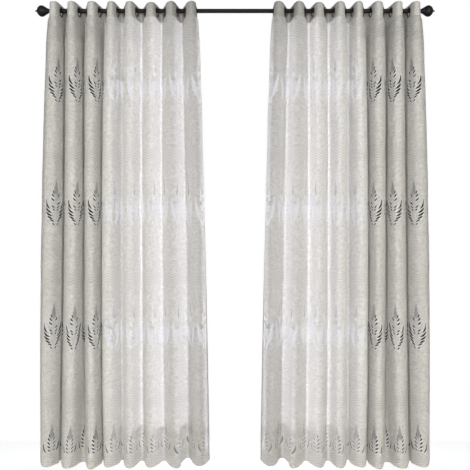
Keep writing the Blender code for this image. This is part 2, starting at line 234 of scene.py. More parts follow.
@dataclass(frozen=True)
class Folds:
    """The hung shape of a panel: loops of cloth in front of the rod and behind it in turn."""

    table: tuple[Fold, ...] = (
        Fold(-1.108, -1.015, -1.144, -1.022, -1.147, -1.040, 0.074, 0.070, 0.045, -0.004, 0.000),
        Fold(-1.003, -0.912, -1.009, -0.900, -1.027, -0.917, 0.074, 0.084, 0.014, 0.008, 0.008),
        Fold(-0.888, -0.792, -0.889, -0.794, -0.882, -0.784, 0.074, 0.088, 0.045, 0.006, 0.009),
        Fold(-0.768, -0.686, -0.786, -0.688, -0.776, -0.677, 0.073, 0.080, 0.050, -0.006, 0.000),
        Fold(-0.664, -0.575, -0.663, -0.580, -0.659, -0.569, 0.072, 0.090, 0.034, 0.008, 0.003),
        Fold(-0.542, -0.452, -0.538, -0.466, -0.533, -0.438, 0.056, 0.083, 0.033, -0.004, 0.001),
        Fold(-0.425, -0.334, -0.411, -0.333, -0.402, -0.315, 0.074, 0.090, 0.086, 0.022, 0.002),
        Fold(-0.308, -0.213, -0.264, -0.177, -0.250, -0.166, 0.074, 0.058, 0.060, 0.000, 0.000),
    )
    loop_cloth: float = 0.156
    back_depth: float = 0.065
    front_bulge: float = 0.003
    back_bulge: float = 0.0005
    neck: float = 0.050
    heading_lean: float = 0.009
    pinch: float = 0.009
    pinch_reach: float = 0.25
    end_widths: tuple[float, float] = (0.004, 0.045)
    foot: float = 2.666
    eyelet_flat: float = 0.22
    steps: int = 24
    normal_step: float = 0.012

    @property
    def last_wall(self) -> int:
        """Give the number of the last wall of cloth, which holds the last eyelet."""
        return 2 * len(self.table) - 1

    def share(self, drop: float) -> float:
        """Give how far down the cloth a height lies, from 0 at the rod to 1 at the foot."""
        return min(max(drop / self.foot, 0.0), 1.0)

    def fold(self, number: int) -> Fold:
        """Give the row of the table for a loop. Even loops are in front and odd ones behind."""
        return self.table[min(max(number // 2, 0), len(self.table) - 1)]

    def wall_x(self, number: int, drop: float) -> float:
        """Give where a wall of cloth crosses the rod's plane.

        Args:
            number: The wall, counted from the outer edge.
            drop: Distance below the rod's axis.

        Returns:
            The X coordinate on the left panel.
        """
        share = self.share(drop)
        end_width = self.end_widths[0] + (self.end_widths[1] - self.end_widths[0]) * share**2
        if number < 0:
            return self.wall_x(0, drop) - end_width
        if number > self.last_wall:
            return self.wall_x(self.last_wall, drop) + end_width
        # A row starts with its left and right walls in turn, at three heights
        stations = self.fold(number)[number % 2 : 6 : 2]
        rest = 1.0 - share
        parts = rest * (1.0 - 2.0 * share), 4.0 * share * rest, share * (2.0 * share - 1.0)
        pinch = self.pinch * min(max(1.0 - drop / self.pinch_reach, 0.0), 1.0) ** 2
        middle = sum(part * station for part, station in zip(parts, stations))
        return middle + (-pinch if number % 2 else pinch)

    def point(self, phase: float, drop: float) -> Vector:
        """Give the plan position of the cloth.

        Args:
            phase: Loops of cloth from the first eyelet.
            drop: Distance below the rod's axis.

        Returns:
            X and Y on the left panel.
        """
        share = self.share(drop)
        number = min(max(math.floor(phase), -1), self.last_wall)
        part = phase - number
        start = self.wall_x(number, drop)
        width = self.wall_x(number + 1, drop) - start
        fold = self.fold(number)
        if number % 2:
            depth = self.back_depth + (fold.hem_back - self.back_depth) * share**2
            lean = 0.0
            bulge = max(self.back_bulge, (self.neck - width) / TURN)
        else:
            depth = -fold.top_front - (fold.hem_front - fold.top_front) * share**2
            lean = self.heading_lean + (fold.hem_lean - self.heading_lean) * share
            bulge = self.front_bulge
        turn = math.pi * part
        x = start + width * part - bulge * math.sin(2.0 * turn) + lean * math.sin(turn)
        return Vector((x, depth * math.sin(turn)))

    @lru_cache(maxsize=None)
    def pair_lengths(self, pair: int, drop: float) -> list[float]:
        """List the length of cloth from the start of a front and back loop to its even steps."""
        phases = [2 * pair + step / self.steps for step in range(2 * self.steps + 1)]
        points = [self.point(phase, drop) for phase in phases]
        lengths = [0.0]
        for before, after in zip(points, points[1:]):
            lengths.append(lengths[-1] + (after - before).length)
        return lengths

    def phase(self, cloth: float, drop: float) -> float:
        """Give the phase where the cloth, spread evenly through each pair of loops, has come.

        Args:
            cloth: Flat cloth from the first eyelet's line, in loops.
            drop: Distance below the rod's axis.

        Returns:
            The phase.
        """
        if cloth <= 0.0:
            return cloth
        pair = math.floor(cloth / 2.0)
        lengths = self.pair_lengths(pair, drop)
        wanted = (cloth / 2.0 - pair) * lengths[-1]
        step = min(bisect_right(lengths, wanted) - 1, 2 * self.steps - 1)
        part = (wanted - lengths[step]) / (lengths[step + 1] - lengths[step])
        return 2 * pair + (step + part) / self.steps

    def flattened(self, phase: float, drop: float) -> Vector:
        """Give the plan position of the heading, which is flat around each eyelet."""
        wall = round(phase)
        away = phase - wall
        if abs(away) >= self.eyelet_flat or not 0 <= wall <= self.last_wall:
            return self.point(phase, drop)
        before, after, _ = self.seat(wall, drop)
        return before.lerp(after, 0.5 + 0.5 * away / self.eyelet_flat)

    def normal(self, phase: float, drop: float) -> Vector:
        """Give the plan direction square to the cloth, towards its back face."""
        step = self.normal_step
        run = self.point(phase + step, drop) - self.point(phase - step, drop)
        return Vector((-run.y, run.x)).normalized()

    def dip(self, cloth: float, drop: float) -> float:
        """Give how much lower than the level hem a front fold hangs here."""
        number = math.floor(cloth)
        if number % 2:
            return 0.0
        rise = math.sin(math.pi * (cloth - number)) ** 2
        return self.fold(number).hem_dip * rise * self.share(drop) ** 2

    def seat(self, wall: int, drop: float) -> tuple[Vector, Vector, float]:
        """Give the two ends of an eyelet's flat wall of cloth, and how far along it the rod passes."""
        before = self.point(wall - self.eyelet_flat, drop)
        after = self.point(wall + self.eyelet_flat, drop)
        return before, after, before.y / (before.y - after.y)


def placed(name: str, data: bpy.types.ID) -> Object:
    """Add an object with its data to the scene."""
    item = bpy.data.objects.new(name, data)
    bpy.context.scene.collection.objects.link(item)
    return item


def new_object(name: str, bm: BMesh, material: Material | None) -> Object:
    """Make a named object of a finished shape, which is freed, and shade it smooth."""
    mesh = bpy.data.meshes.new(name)
    bm.to_mesh(mesh)
    bm.free()
    if material is not None:
        mesh.materials.append(material)
    mesh.shade_smooth()
    return placed(name, mesh)


def keep(item: Object, slot: str, *nodes: str) -> None:
    """Fix a piece to the body and hide the nodes that it stands for."""
    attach(item, "root")
    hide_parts(*nodes)
    LOG.info("%s: %d faces", item.name, len(item.data.polygons))


def mirrored(bm: BMesh) -> BMesh:
    """Copy a shape to the other side of the rod's middle, its faces still the right way."""
    other = bm.copy()
    bmesh.ops.transform(other, matrix=Matrix.Scale(-1.0, 4, (1.0, 0.0, 0.0)), verts=other.verts)
    bmesh.ops.reverse_faces(other, faces=other.faces)
    return other


def picked(geometry: Sequence, kind: type) -> list:
    """List the parts of one kind."""
    return [part for part in geometry if isinstance(part, kind)]


def name_pattern(cloth: BMesh) -> None:
    """Write each point's place in the flat cloth to the sheet's pattern coordinates."""
    layer = cloth.loops.layers.uv.new("pattern")
    for face in cloth.faces:
        for loop in face.loops:
            loop[layer].uv = (loop.vert.co.x, -loop.vert.co.z)


def spun(points: Outline, closed: bool, steps: int) -> BMesh:
    """Turn an open or closed outline, given as radius and height, in steps right round Z."""
    bm = bmesh.new()
    verts = [bm.verts.new((radius, 0.0, height)) for radius, height in points]
    after = verts[1:] + verts[:1] if closed else verts[1:]
    edges = [bm.edges.new(pair) for pair in zip(verts, after)]
    axis = {"axis": (0.0, 0.0, 1.0), "cent": (0.0, 0.0, 0.0), "angle": TURN}
    bmesh.ops.spin(bm, geom=verts + edges, **axis, steps=steps, use_merge=True)
    bmesh.ops.remove_doubles(bm, verts=bm.verts, dist=1e-6)
    bmesh.ops.recalc_face_normals(bm, faces=bm.faces)
    return bm


def flat_grid(left: float, right: float, high: float, low: float, across: int = 1, down: int = 1) -> BMesh:
    """Make an upright flat sheet in the XZ plane, with so many faces across and down.

    Its front looks towards -Y.
    """
    bm = bmesh.new()
    bmesh.ops.create_grid(bm, x_segments=across, y_segments=down, size=0.5)
    stand = Matrix.Rotation(math.pi / 2.0, 4, "X")
    stretch = Matrix.Diagonal((right - left, 1.0, high - low, 1.0))
    shift = Matrix.Translation(((left + right) / 2.0, 0.0, (high + low) / 2.0))
    bmesh.ops.transform(bm, matrix=shift @ stretch @ stand, verts=bm.verts)
    return bm


def cut_through(bm: BMesh, outlines: Sequence[Outline]) -> BMesh:
    """Cut closed outlines out of a flat upright sheet.

    Args:
        bm: The sheet, which is freed.
        outlines: Corners of each opening, as X and Z.

    Returns:
        The sheet with its openings.
    """
    reach = 0.01
    tool = bmesh.new()
    for outline in outlines:
        face = tool.faces.new([tool.verts.new((x, -reach, z)) for x, z in outline])
        grown = bmesh.ops.extrude_face_region(tool, geom=[face])["geom"]
        bmesh.ops.translate(tool, verts=picked(grown, BMVert), vec=(0.0, 2.0 * reach, 0.0))
    bmesh.ops.recalc_face_normals(tool, faces=tool.faces)
    sheet = new_object("flat_sheet", bm, None)
    cutter = new_object("cutter", tool, None)
    openings = sheet.modifiers.new("openings", "BOOLEAN")
    openings.object = cutter
    openings.operation = "DIFFERENCE"
    openings.solver = "EXACT"
    graph = bpy.context.evaluated_depsgraph_get()
    result = bmesh.new()
    result.from_object(sheet, graph)
    for item in (sheet, cutter):
        bpy.data.objects.remove(item, do_unlink=True)
    return result


class Slit(NamedTuple):
    """One cut of a leaf: its two ends, out from the midrib and down from the tip, and its shape."""

    out: float
    down: float
    to_out: float
    to_down: float
    bow: float
    width: float

    def outline(self, side: float, corners: int = 6) -> Outline:
        """Give X and Z of the corners, left (-1) or right (1) of a leaf with its tip at the origin."""
        run = Vector((self.to_out - self.out, self.to_down - self.down))
        square = Vector((-run.y, run.x)).normalized()
        edges: list[list[Vector]] = [[], []]
        for step in range(corners + 1):
            part = step / corners
            bow = square * -self.bow * 4.0 * part * (1.0 - part)
            centre = Vector((self.out, self.down)) + run * part + bow
            # A power under 1 keeps the cut wide towards its ends
            half = self.width / 2.0 * math.sin(math.pi * part) ** 0.6
            edges[0].append(centre + square * half)
            edges[1].append(centre - square * half)
        ring = edges[0] + edges[1][-2:0:-1]
        return [(side * spot.x, -spot.y) for spot in ring]


@dataclass(frozen=True)
class LeafPattern:
    """The leaf cutwork: one leaf to each loop of cloth, in rows one pitch apart."""

    pitch: float = 0.719
    above: float = 0.25
    shift: float = -0.12
    tips: tuple[float, ...] = (0.292, 1.011, 1.730, 2.427)
    columns: int = 24
    rows_above: int = 10
    rows_below: int = 20
    hem_rows: int = 11
    hem_reach: float = 0.165
    margin: float = 0.004
    slits: tuple[Slit, ...] = (
        Slit(0.020, 0.050, 0.012, 0.072, 0.000, 0.0065),
        Slit(0.027, 0.070, 0.010, 0.092, 0.001, 0.0080),
        Slit(0.030, 0.094, 0.009, 0.114, 0.001, 0.0080),
        Slit(0.030, 0.116, 0.008, 0.134, 0.001, 0.0080),
        Slit(0.027, 0.138, 0.008, 0.153, 0.001, 0.0075),
        Slit(0.021, 0.157, 0.007, 0.170, 0.000, 0.0070),
        Slit(0.056, 0.100, 0.033, 0.160, 0.010, 0.0115),
        Slit(0.060, 0.146, 0.022, 0.183, 0.006, 0.0110),
        Slit(0.059, 0.175, 0.021, 0.201, 0.003, 0.0105),
        Slit(0.050, 0.199, 0.019, 0.218, 0.001, 0.0095),
        Slit(0.036, 0.220, 0.010, 0.236, -0.002, 0.0080),
        Slit(0.023, 0.241, 0.007, 0.253, -0.001, 0.0070),
    )

    def tile(self, folds: Folds, first: int, last: int, hem: bool) -> BMesh:
        """Make one leaf's piece of flat cloth, with its cuts.

        Args:
            folds: The hung shape, for the cloth in a loop.
            first: The first column, counted from the midrib.
            last: The last column, counted from the midrib.
            hem: Whether this is the row in the hem, which ends at the foot.

        Returns:
            The tile, with the leaf's tip at the origin.
        """
        wide = folds.loop_cloth / self.columns
        below = folds.foot - self.tips[-1] if hem else self.pitch - self.above
        rows = self.rows_above + (self.hem_rows if hem else self.rows_below)
        bm = flat_grid(first * wide, last * wide, self.above, -below, last - first, rows)
        reach = self.hem_reach if hem else self.pitch
        margin = self.margin
        outlines = [
            slit.outline(side)
            for slit in self.slits
            for side, limit in ((-1.0, -first * wide), (1.0, last * wide))
            if slit.to_down < reach and slit.out + margin < limit
        ]
        cloth = cut_through(bm, outlines)
        rib = cloth.verts.layers.float.new("rib")
        for vert in cloth.verts:
            inside = first * wide + margin < vert.co.x < last * wide - margin
            if vert.is_boundary and inside and -below + margin < vert.co.z < self.above - margin:
                vert[rib] = 1.0
        return cloth

    def drop(self, pattern: float, top: float, foot: float) -> float:
        """Give how far below the rod's axis a distance down the pattern from its first tip lies.

        The pattern has its rows one pitch apart, and the true cloth reaches from top to foot.
        """
        row = min(max(math.floor((pattern + self.above) / self.pitch), 0), len(self.tips) - 1)
        local = pattern - row * self.pitch
        tip = self.tips[row]
        if local >= 0.0:
            return min(tip + local, foot)
        start = top if row == 0 else self.tips[row - 1] + self.pitch - self.above
        return tip + local * (tip - start) / self.above


def shaded(colour: Colour, share: float) -> Colour:
    """Give a colour at a share of its brightness."""
    return tuple(share * part for part in colour)


@dataclass(frozen=True)
class VoileFinish:
    """Sheer matt voile with raised ripple bands, broken curls and a thin spear to each leaf, with painted
    shade in the low parts of its relief and a painted highlight along the edges of its cuts.
    """

    colour: Colour = (0.875, 0.85, 0.80)
    thin_colour: Colour = (0.62, 0.61, 0.60)
    # Painted highlight for the ribs along the edges of the cuts
    rib_painted_highlight: Colour = (0.97, 0.965, 0.95)
    slub_shade: float = 0.96
    # Painted shade: the brightness kept in the low parts of the relief
    painted_shade_in_hollows: float = 0.82
    through: float = 0.38
    cover: float = 0.94
    open_share: float = 0.45
    spear_start: float = -0.010
    spear_length: float = 0.085
    spear_half: float = 0.021
    band_at: float = -0.155
    band_half: float = 0.034
    hem_from: float = 2.330
    ripple: float = 0.0150
    wander: float = 0.052
    wander_angle: float = 1.8
    curl_scale: float = 17.0
    curl_angle: float = 25.0
    curl_squat: Spot = (1.0, 1.7, 1.0)
    gap_scale: float = 42.0
    grain_scale: float = 150.0
    slub_scale: float = 14.0
    thread: float = 0.0011
    height: float = 3.0 * MILLIMETRE

    def material(self, folds: Folds, leaves: LeafPattern) -> Material:
        """Make the finish for a leaf pattern with one column to each loop of cloth."""
        g = Graph("sheer_voile")
        pattern, along, down = g.weave()
        rib = g.marked("rib")
        hem = g.marked("turned")
        from_rib = along.wrapped(folds.loop_cloth)
        # The wrap folds its input around zero, so the middle of a row is moved there and back
        middle = leaves.pitch / 2.0 - leaves.above
        from_tip = (down - middle).wrapped(leaves.pitch) + middle
        # Spear: a long thin triangle that widens down from the tip
        down_spear = from_tip - self.spear_start
        inside = down_spear * (self.spear_half / self.spear_length) - from_rib.size()
        spear = (1.0 - inside.below(0.0, 0.0010)) * down_spear.below(self.spear_length, 0.012)
        # Ripples that wander up and down, in a band above each row and all over the hem
        wander = (along * (TURN / self.wander)).wave() * self.wander_angle
        ripple = (down * (TURN / self.ripple) + wander).wave()
        band = (from_tip - self.band_at).size().below(self.band_half, 0.010)
        band = (band + 1.0 - down.below(self.hem_from, 0.008)).clamped()
        # Broken curls everywhere else, drawn as the level lines of a smooth noise
        stretch = {0: pattern, 1: self.curl_squat}
        squat = g.add("ShaderNodeVectorMath", {"operation": "MULTIPLY"}, stretch)
        broken = 1.0 - g.speckle(squat, self.gap_scale, 1.0).below(0.48, 0.06)
        curls = (g.speckle(squat, self.curl_scale, 1.0) * self.curl_angle).wave() * broken
        grain = g.speckle(pattern, self.grain_scale, 2.0) - 0.5
        raised = ripple * band + curls * (1.0 - band) + grain * 0.5
        pace = TURN / self.thread
        thread = (along * pace).wave() + (down * pace).wave()
        slub = g.speckle(g.place(), self.slub_scale, 4.0)
        tint = g.blend(slub, shaded(self.colour, self.slub_shade), self.colour)
        # Painted shade: the cloth's colour darkens where its relief is low and keeps full brightness on
        # the raised lines
        top = (raised * 0.5 + 0.5).clamped()
        tint = g.blend(top, shaded(self.colour, self.painted_shade_in_hollows), tint)
        tint = g.blend(spear * 0.35, tint, self.thin_colour)
        # Painted highlight along the edges of the cuts, where the raised ribs catch the light
        tint = g.blend(rib * 0.6, tint, self.rib_painted_highlight)
        cover = self.cover + raised * 0.02 + thread * 0.015
        cover = (cover - spear * self.open_share - hem * self.open_share).clamped()
        normal = g.relief(raised + thread * 0.12 + rib * 1.2, 1.0, self.height)
        sheen = {"Sheen_Weight": 0.15, "Sheen_Roughness": 0.5}
        cloth = g.surface(Base_Color=tint, Roughness=0.86, Alpha=cover, Normal=normal, **sheen)
        return g.finish(g.let_through(self.through, cloth, tint, normal))


@dataclass(frozen=True)
class HeadingFinish:
    """Dense stiffened band with a speckled weave and a row of stitches near its foot."""

    colour: Colour = (0.44, 0.43, 0.40)
    pale: Colour = (0.74, 0.73, 0.69)
    stitch_colour: Colour = (0.92, 0.91, 0.88)
    through: float = 0.30
    fleck_scale: float = 150.0
    patch_scale: float = 18.0
    thread: float = 0.0012
    seam: float = 0.046
    stitch_length: float = 0.004
    height: float = 0.5 * MILLIMETRE

    def material(self) -> Material:
        """Make the finish."""
        g = Graph("heading_band")
        pattern, along, down = g.weave()
        fleck = g.speckle(pattern, self.fleck_scale, 3.0).below(0.51, 0.07)
        pace = TURN / self.thread
        thread = (along * pace).wave() * 0.5 + (down * pace).wave() * 0.5
        from_seam = (down - self.seam).size()
        row = from_seam.below(0.7 * MILLIMETRE, 0.3 * MILLIMETRE)
        stitch = row * (along * (TURN / self.stitch_length)).wave().below(0.4, 0.3)
        groove = from_seam.below(2.0 * MILLIMETRE, 1.5 * MILLIMETRE)
        patch = g.speckle(g.place(), self.patch_scale) * 0.25
        tint = g.blend(fleck * 0.8, self.pale, self.colour)
        tint = g.blend(stitch * 0.7, tint, self.stitch_colour)
        tint = g.blend(patch, tint, shaded(self.colour, 0.8))
        height = fleck * -0.4 + thread * 0.3 + stitch * 0.8 - groove * 1.2
        normal = g.relief(height, 0.6, self.height)
        cloth = g.surface(Base_Color=tint, Roughness=0.9, Normal=normal, Sheen_Weight=0.1)
        return g.finish(g.let_through(self.through, cloth, tint, normal))


@dataclass(frozen=True)
class MetalFinish:
    """Painted or plated metal with a faint mottle and paler worn places."""

    name: str
    colour: Colour
    worn: Colour
    roughness: float
    metallic: float
    grain: float
    gloss: float = 0.5

    def material(self) -> Material:
        """Make the finish."""
        g = Graph(self.name)
        place = g.place()
        mottle = g.speckle(place, self.grain, 4.0)
        fine = g.speckle(place, self.grain * 9.0, 2.0)
        wear = (1.0 - mottle.below(0.62, 0.08)) * 0.5
        tint = g.blend(wear, self.colour, self.worn)
        rough = self.roughness + (mottle - 0.5) * 0.2 + (fine - 0.5) * 0.08
        normal = g.relief(mottle * 0.6 + fine * 0.4, 0.25, 0.3 * MILLIMETRE)
        metal = g.surface(
            Base_Color=tint,
            Roughness=rough,
            Metallic=self.metallic,
            Specular_IOR_Level=self.gloss,
            Normal=normal,
        )
        return g.finish(metal)


@dataclass(frozen=True)
class Panels:
    """The two voile panels: fine sheets on their folds, with leaf cuts, hem and side hems."""

    folds: Folds
    leaves: LeafPattern
    finish: VoileFinish
    top: float = 0.0503
    outer_column: int = -4
    inner_column: int = 14
    turn_gap: float = 0.0013
    hem_turn: float = 0.200
    side_turn: float = 0.026
    rumple: float = 0.0016
    rumple_from: float = 0.15
    flat_size: tuple[float, float] = (2.51, 2.81)

    def flat_cloth(self) -> BMesh:
        """Lay the leaf tiles side by side into one flat sheet, in the pattern's own coordinates."""
        half = self.leaves.columns // 2
        cloth = bmesh.new()
        last = self.folds.last_wall
        loop_cloth = self.folds.loop_cloth
        for hem in (False, True):
            rows = [len(self.leaves.tips) - 1] if hem else range(len(self.leaves.tips) - 1)
            spans = {0: (self.outer_column, half), last: (-half, self.inner_column)}
            tiles = {}
            for leaf in range(last + 1):
                span = spans.get(leaf, (-half, half))
                if span not in tiles:
                    tile = self.leaves.tile(self.folds, *span, hem)
                    tiles[span] = bpy.data.meshes.new("tile")
                    tile.to_mesh(tiles[span])
                    tile.free()
                for row in rows:
                    spot = (leaf * loop_cloth, 0.0, -row * self.leaves.pitch)
                    shift = Matrix.Translation(spot)
                    tiles[span].transform(shift)
                    cloth.from_mesh(tiles[span])
                    tiles[span].transform(shift.inverted())
        bmesh.ops.remove_doubles(cloth, verts=cloth.verts, dist=1e-5)
        return cloth

    def turn_under(self, cloth: BMesh, edges: list, inward: Vector, steps: int) -> None:
        """Turn some edges of the flat cloth to its back, as a hem that reaches inward."""
        gap = Vector((0.0, self.turn_gap, 0.0))
        for step in range(steps + 1):
            grown = bmesh.ops.extrude_edge_only(cloth, edges=edges)["geom"]
            verts = picked(grown, BMVert)
            moved = set(verts)
            edges = [edge for edge in picked(grown, BMEdge) if moved >= set(edge.verts)]
            bmesh.ops.translate(cloth, verts=verts, vec=inward / steps if step else gap)

    def hemmed(self) -> BMesh:
        """Give the flat sheet with its bottom hem and side hems turned to the back."""
        cloth = self.flat_cloth()
        turned = cloth.verts.layers.float.new("turned")
        foot = min(vert.co.z for vert in cloth.verts)
        left = min(vert.co.x for vert in cloth.verts)
        right = max(vert.co.x for vert in cloth.verts)

        def border(axis: int, at: float) -> list:
            """List the outer edges that lie along one side of the sheet."""
            return [
                edge
                for edge in cloth.edges
                if edge.is_boundary and all(abs(vert.co[axis] - at) < NEAR for vert in edge.verts)
            ]

        sides = border(0, left), border(0, right)
        below = [face for face in cloth.faces if face.calc_center_median().z < foot + self.hem_turn]
        copied = bmesh.ops.duplicate(cloth, geom=below)["geom"]
        back_verts = picked(copied, BMVert)
        for vert in back_verts:
            vert[turned] = 1.0
        bmesh.ops.translate(cloth, verts=back_verts, vec=(0.0, self.turn_gap, 0.0))
        bmesh.ops.reverse_faces(cloth, faces=picked(copied, BMFace))
        bmesh.ops.bridge_loops(cloth, edges=border(2, foot))
        for edges, inward in zip(sides, (self.side_turn, -self.side_turn)):
            self.turn_under(cloth, edges, Vector((inward, 0.0, 0.0)), 3)
        return cloth

    def hang(self, cloth: BMesh) -> None:
        """Name each point's place in the pattern, then move the flat sheet onto its folds."""
        name_pattern(cloth)
        for vert in cloth.verts:
            cloth_at = vert.co.x / self.folds.loop_cloth + self.leaves.shift
            drop = round(self.leaves.drop(-vert.co.z, self.top, self.folds.foot), 4)
            phase = self.folds.phase(cloth_at, drop)
            place = self.folds.point(phase, drop)
            normal = self.folds.normal(phase, drop)
            ease = min(max((drop - self.top) / self.rumple_from, 0.0), 1.0)
            broad = noise.noise(Vector((phase * 1.7, drop * 4.5, 0.0)))
            small = noise.noise(Vector((phase * 4.0, drop * 11.0, 7.0)))
            place += normal * (vert.co.y + self.rumple * ease * (broad + 0.5 * small))
            vert.co = (place.x, place.y, -drop - self.folds.dip(cloth_at, drop))

    def build(self) -> None:
        cloth = self.hemmed()
        self.hang(cloth)
        bmesh.ops.triangulate(cloth, faces=[face for face in cloth.faces if len(face.verts) > 4])
        material = self.finish.material(self.folds, self.leaves)
        for side, shape in ((Side.LEFT, cloth), (Side.RIGHT, mirrored(cloth))):
            item = new_object(f"voile_{side.value}", shape, material)
            keep(item, "voile", f"panel_{side.value}")


@dataclass(frozen=True)
class Headings:
    """The two stiffened bands that hold the eyelets, each a doubled sheet with round holes."""

    folds: Folds
    finish: HeadingFinish
    top: float = -0.033
    foot: float = 0.050
    thickness: float = 0.0022
    hole_radius: float = 0.0235
    hole_drop: float = 0.0077
    columns: int = 24
    rows: int = 8
    end: float = 0.30
    hole_sides: int = 28
    flat_size: tuple[float, float] = (2.43, 0.083)

    def flat_band(self) -> BMesh:
        """Make the flat band with its holes, in cloth from the first eyelet."""
        cloth = self.folds.loop_cloth
        last = self.folds.last_wall
        across = round((last + 2.0 * self.end) * self.columns)
        ends = -self.end * cloth, (last + self.end) * cloth
        bm = flat_grid(*ends, -self.top, -self.foot, across, self.rows)
        flat_run = 2.0 * self.folds.eyelet_flat * cloth
        angles = [TURN * (step + 0.5) / self.hole_sides for step in range(self.hole_sides)]
        rim = [(math.cos(angle), math.sin(angle)) for angle in angles]
        radius = self.hole_radius
        outlines = []
        for wall in range(last + 1):
            before, after, share = self.folds.seat(wall, self.hole_drop)
            middle = wall * cloth + (share - 0.5) * flat_run
            squeeze = flat_run / (after - before).length
            outlines.append([(middle + squeeze * radius * x, radius * z - self.hole_drop) for x, z in rim])
        return cut_through(bm, outlines)

    def build(self) -> None:
        band = self.flat_band()
        name_pattern(band)
        for vert in band.verts:
            phase = vert.co.x / self.folds.loop_cloth
            place = self.folds.flattened(phase, -vert.co.z)
            vert.co = (place.x, place.y, vert.co.z)
        material = self.finish.material()
        for side, shape in ((Side.LEFT, band), (Side.RIGHT, mirrored(band))):
            item = new_object(f"heading_band_{side.value}", shape, material)
            wall = item.modifiers.new("thickness", "SOLIDIFY")
            wall.thickness = self.thickness
            wall.offset = 0.0
            keep(item, "heading", f"heading_{side.value}")


@dataclass(frozen=True)
class Eyelets:
    """The rings: two domed flanges with the band between them, hung by the bore on the rod."""

    folds: Folds
    finish: MetalFinish
    bore: float = 0.0205
    rim: float = 0.0300
    groove: float = 0.0225
    hang: float = 0.0077
    steps: int = 40

    def outline(self) -> Outline:
        """Give the cut through a ring, as radius and distance from the cloth's middle."""
        half = [
            (self.groove, 0.00135),
            (self.rim - 0.0006, 0.00135),
            (self.rim, 0.0017),
            (self.rim - 0.0007, 0.0025),
            (self.rim - 0.0035, 0.0034),
            (self.bore + 0.0030, 0.0036),
            (self.bore + 0.0008, 0.0030),
            (self.bore, 0.0018),
        ]
        return half + [(radius, -out) for radius, out in reversed(half)]

    def build(self) -> None:
        """Make the rings of each side as one piece."""
        mesh = bpy.data.meshes.new("ring")
        ring = spun(self.outline(), True, self.steps)
        ring.to_mesh(mesh)
        ring.free()
        material = self.finish.material()
        count = self.folds.last_wall + 1
        up = Vector((0.0, 0.0, 1.0))
        for side in Side:
            rings = bmesh.new()
            for wall in range(count):
                before, after, share = self.folds.seat(wall, self.hang)
                centre = before.lerp(after, share)
                level = (after - before).normalized()
                flip = -side.sign
                along = Vector((flip * level.x, level.y, 0.0))
                turn = Matrix((along, up, along.cross(up))).transposed().to_4x4()
                place = Matrix.Translation((flip * centre.x, centre.y, -self.hang)) @ turn
                mesh.transform(place)
                rings.from_mesh(mesh)
                mesh.transform(place.inverted())
            item = new_object(f"eyelet_rings_{side.value}", rings, material)
            nodes = [f"eyelet_{side.value}_{number:02d}" for number in range(1, count + 1)]
            keep(item, "eyelet", *nodes)


@dataclass(frozen=True)
class Rod:
    """The plain round bar, with eased ends."""

    finish: MetalFinish
    radius: float = 0.0125
    half_length: float = 1.101
    ease: float = 0.0006
    sharp: float = 35.0

    def build(self) -> None:
        """Make the bar."""
        bm = bmesh.new()
        lie = Matrix.Rotation(math.pi / 2.0, 4, "Y")
        radii = {"radius1": self.radius, "radius2": self.radius}
        long = 2.0 * self.half_length
        bmesh.ops.create_cone(bm, cap_ends=True, segments=64, **radii, depth=long, matrix=lie)
        middles = [(edge, sum(vert.co.x for vert in edge.verts) / 2.0) for edge in bm.edges]
        rims = [edge for edge, middle in middles if abs(abs(middle) - self.half_length) < NEAR]
        plain = {"affect": "EDGES", "profile": 0.5, "material": -1, "clamp_overlap": True}
        bmesh.ops.bevel(bm, geom=rims, offset=self.ease, segments=2, **plain)
        item = new_object("rod_bar", bm, self.finish.material())
        item.data.set_sharp_from_angle(angle=math.radians(self.sharp))
        keep(item, "rod", "rod")


